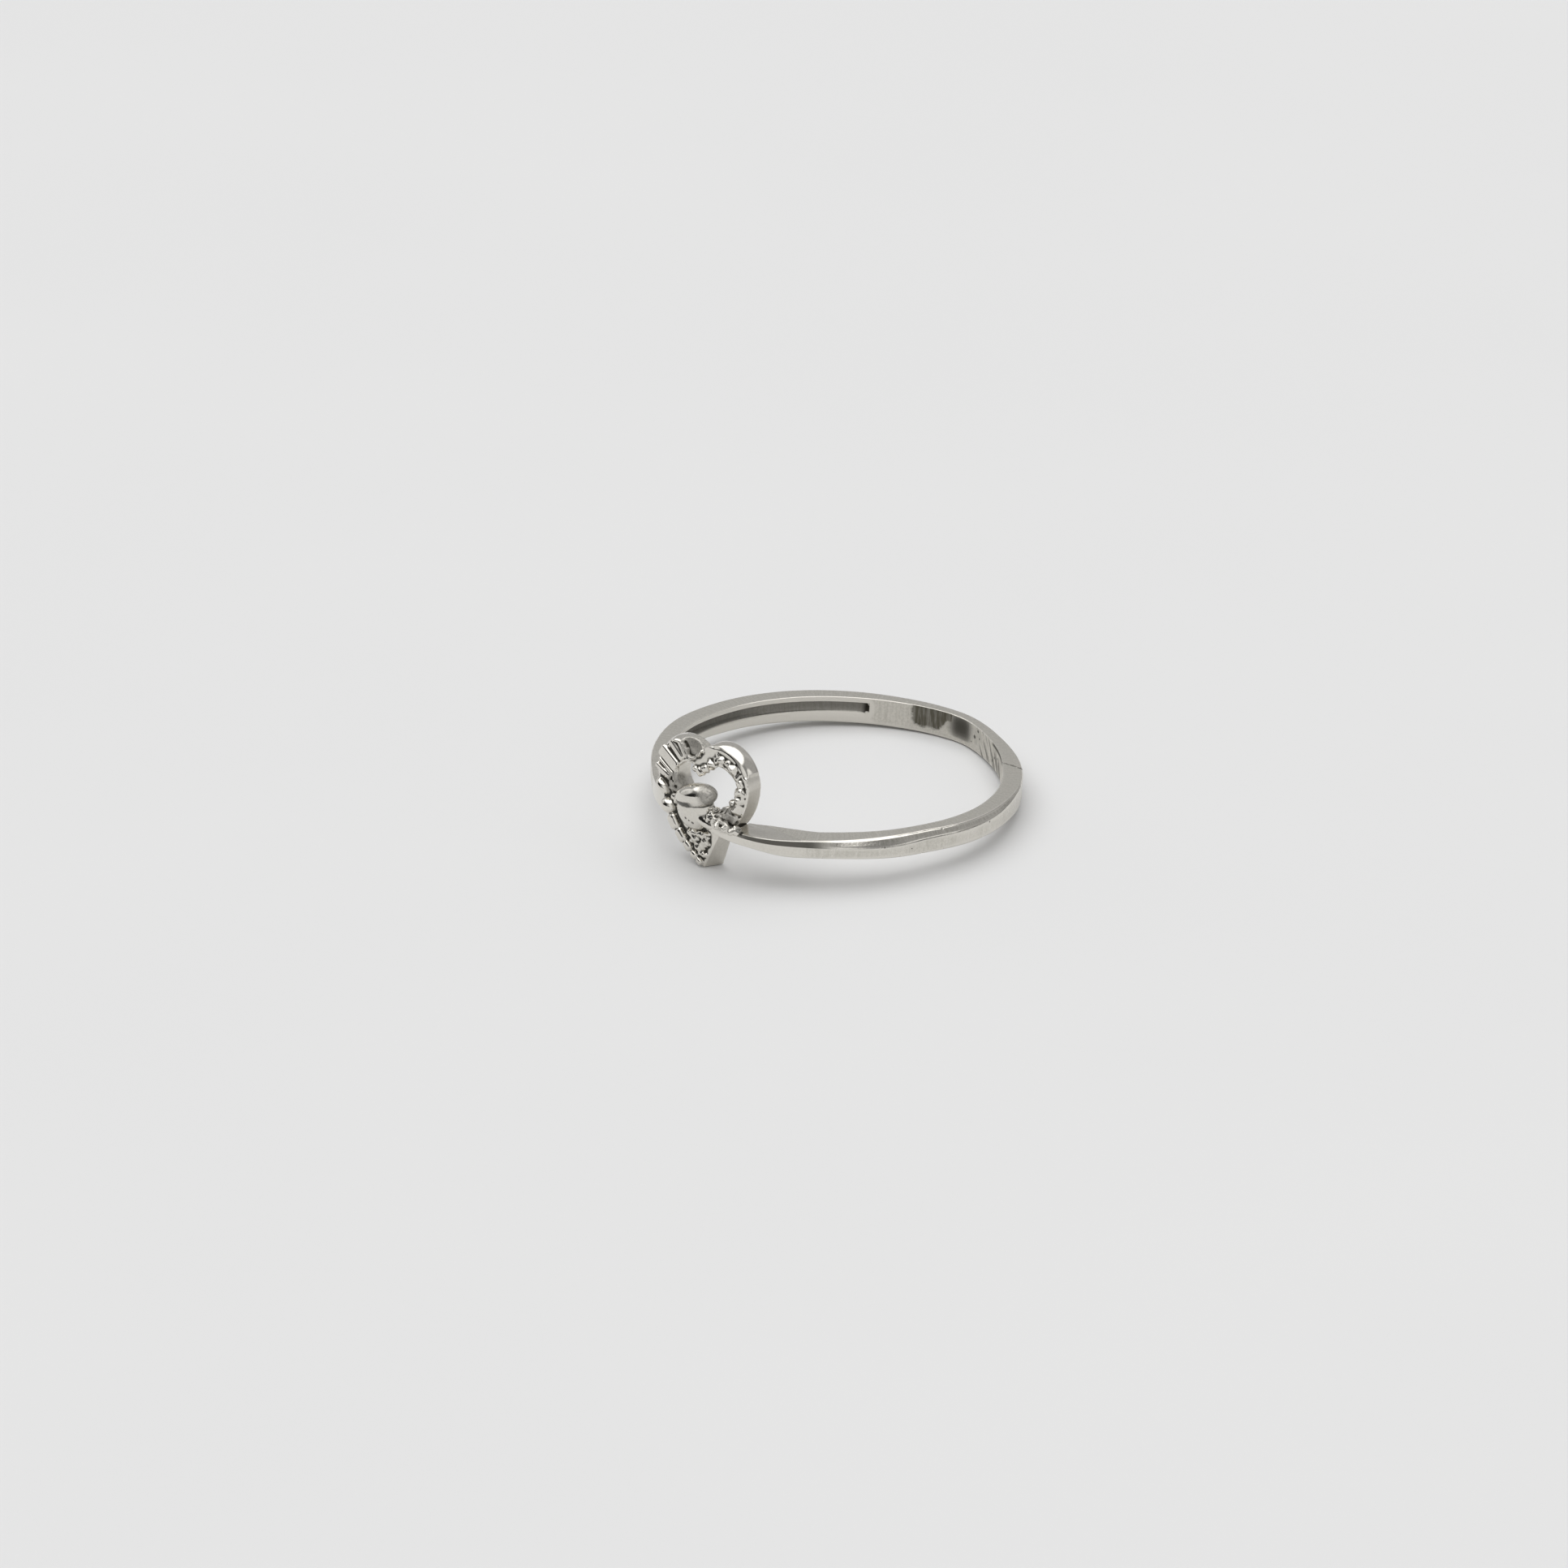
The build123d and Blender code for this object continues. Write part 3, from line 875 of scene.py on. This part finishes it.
def silver_finish():
    """Worn silver: bevels with a high polish, brushed walls, tarnished crevices and old solder stains, with
    painted shade in the channel and under the dome, painted dark reflections along the bevels and the arm's
    edge, and painted highlights along convex rims.
    """
    material = bpy.data.materials.new("worn_silver")
    material.use_nodes = True
    shader = Shader(material.node_tree)
    at = Skin(shader)
    brushed = shader.noise(shader.point(at.round_back * 9.0, at.z * 0.8, at.inward), 1.0, 3.0, 0.6)
    speckle = shader.noise(at.place, 26.0, 2.0, 0.6)
    rough = rough_area(shader, at)
    sideways = (1 - abs(at.inward).between(0.40, 0.65)) * (1 - abs(at.upward).between(0.35, 0.60))
    off_shank = 1 - at.on_shank

    in_channel = channel_area(at)
    stain = solder_stain(shader, at)
    seam = seam_line(at)
    marks = at.on_inner * spots(shader, at.on_wall_map, inner_spots)
    marks = marks + at.on_outer * spots(shader, at.on_wall_map, outer_pits)
    glints = at.on_face * spots(shader, at.on_face_map, face_glints)
    dark = at.crevice.between(0.003, 0.016) * (1 - 0.40 * in_channel)
    # the dark layers: real tarnish, soot, stain, scrapes, pits and seam, with painted shade in the channel
    # and under the dome and painted dark reflections along the bevel and the arm
    for layer in (
        # soot in the rough patches, and painted shade under the dome
        soot_and_painted_shade(shader, at, rough),
        # painted shade in the channel, deepest near its blind end
        in_channel * (0.75 - 0.4 * at.round_back.between(-13.0, -7.0)),
        stain * 0.95,
        inner_wear(shader, at),
        # painted dark reflections along the bevel's edges
        bevel_painted_reflections(at) * 0.8,
        # painted dark reflection along the arm's bevel, and painted shade over its upper rounding
        arm_edge_painted_reflection(at) * 0.9,
        marks * 0.85,
        seam,
    ):
        dark = dark.at_least(layer)

    shine = 0.6 + (at.fine - 0.5) * 0.4 + at.on_shank * (brushed * 0.5 + at.fine * 0.1 - 0.4)
    # convex edges lightened towards bright silver: worn polish, and a painted highlight along the rims
    polish_and_painted_highlight = (0 - at.crevice).between(0.004, 0.016)
    colour = shader.mix(shine.between(0.3, 0.7), dull_silver, bright_silver)
    colour = shader.mix(polish_and_painted_highlight, colour, bright_silver)
    colour = shader.mix(dark, colour, shader.mix(stain, soot_and_shade_black, stain_brown))

    roughness = 0.06 + 0.05 * at.fine + at.on_inner * 0.38 + dark * 0.3 + rough * 0.25
    roughness = roughness + at.on_shank * (at.on_face * 0.22 + at.on_walls * (0.10 + 0.14 * brushed))
    roughness = roughness + off_shank * sideways * 0.28

    relief = at.fine * (0.12 + at.on_shank * (0.4 + at.on_face) + rough * 4.0)
    relief = relief + brushed * at.on_shank * at.on_walls * 1.4 + speckle * at.on_face * 0.5
    relief = relief + glints * 2.0 - marks * 2.0 - seam
    bump = shader.node("Bump", {}, {"Strength": 0.25, "Distance": 0.00002, "Height": relief})
    surface = shader.node("BsdfPrincipled", {}, {
        "Base Color": colour,
        "Metallic": (1 - dark * 0.9) * (1 - 0.5 * at.on_inner),
        "Specular IOR Level": 0.3,
        "Roughness": roughness,
        "Normal": bump,
    })
    shader.node("OutputMaterial", {}, {"Surface": surface})
    return material


# Table, light and camera
def pale_table():
    """A wide pale table top under the ring."""
    bm = bmesh.new()
    bmesh.ops.create_grid(bm, x_segments=1, y_segments=1, size=1.5)
    table = new_object(bm, "table")
    material = bpy.data.materials.new("pale_card")
    material.use_nodes = True
    shader = Shader(material.node_tree)
    here = shader.node("TexCoord", {}, {}, "Object")
    mottle = shader.noise(here, 30.0, 2.0, 0.5)
    colour = shader.mix(mottle, (0.74, 0.74, 0.74, 1), (0.76, 0.76, 0.758, 1))
    card = {"Base Color": colour, "Roughness": 0.75, "Specular IOR Level": 0.2}
    surface = shader.node("BsdfPrincipled", {}, card)
    shader.node("OutputMaterial", {}, {"Surface": surface})
    table.data.materials.append(material)


# Glow of the room, then its soft boxes and one dark flag: the direction of each, how far it
# spreads and fades in degrees, and its strength
room_glow = 0.30
soft_boxes = (
    ((-0.18, -0.05, 1.00), 38, 8, 1.38),
    ((0.62, -0.64, 0.44), 20, 10, 0.55),
    ((0.46, 0.60, 0.60), 22, 12, 0.12),
    ((-0.62, -0.42, 0.62), 16, 10, 0.20),
    ((-0.62, -0.74, 0.14), 32, 12, -0.28),
    ((-0.65, 0.68, 0.42), 36, 24, 0.18),
    ((-0.95, -0.35, 0.30), 14, 8, 0.6),
    ((0.95, 0.30, 0.45), 12, 6, 0.6),
)


def studio():
    """A dim room with a large soft box overhead and paler ones round it."""
    world = bpy.data.worlds.new("dim_room")
    bpy.context.scene.world = world
    world.use_nodes = True
    shader = Shader(world.node_tree)
    direction = shader.node("TexCoord", {}, {}, "Generated")
    glow = room_glow
    for towards, spread, soft, strength in soft_boxes:
        aim = {0: direction, 1: Vector(towards).normalized()}
        aligned = shader.node("VectorMath", {"operation": "DOT_PRODUCT"}, aim, 1)
        glow = glow + aligned.between(cos(radians(spread + soft)), cos(radians(spread))) * strength
    room = shader.node("Background", {}, {"Color": (1.0, 1.0, 1.0, 1), "Strength": glow})
    shader.node("OutputWorld", {}, {"Surface": room})
    bpy.context.scene.view_settings.view_transform = "Standard"


# Camera, at the photograph's angle
camera_heading = 44.12
camera_elevation = 26.25
camera_roll = 0.27
camera_distance = 0.300
camera_lens = 137.0
camera_aim = Vector((0.000134, -0.003332, 0.002373))


def aim_camera():
    """The camera at the photograph's angle to the ring."""
    heading, rise = radians(camera_heading), radians(camera_elevation)
    towards = Vector((sin(heading) * cos(rise), -cos(heading) * cos(rise), sin(rise)))
    lens = bpy.data.cameras.new("camera")
    lens.lens = camera_lens
    lens.sensor_width = 36
    lens.clip_start = 0.01
    camera = bpy.data.objects.new("camera", lens)
    turned = towards.to_track_quat("Z", "Y").to_matrix() @ Matrix.Rotation(radians(-camera_roll), 3, "Z")
    camera.matrix_world = Matrix.Translation(camera_aim + towards * camera_distance) @ turned.to_4x4()
    bpy.context.scene.collection.objects.link(camera)
    bpy.context.scene.camera = camera


ring = casting()
ring.data.materials.clear()
ring.data.materials.append(silver_finish())
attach(ring, "root")
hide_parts("heart_ring")
pale_table()
studio()
aim_camera()
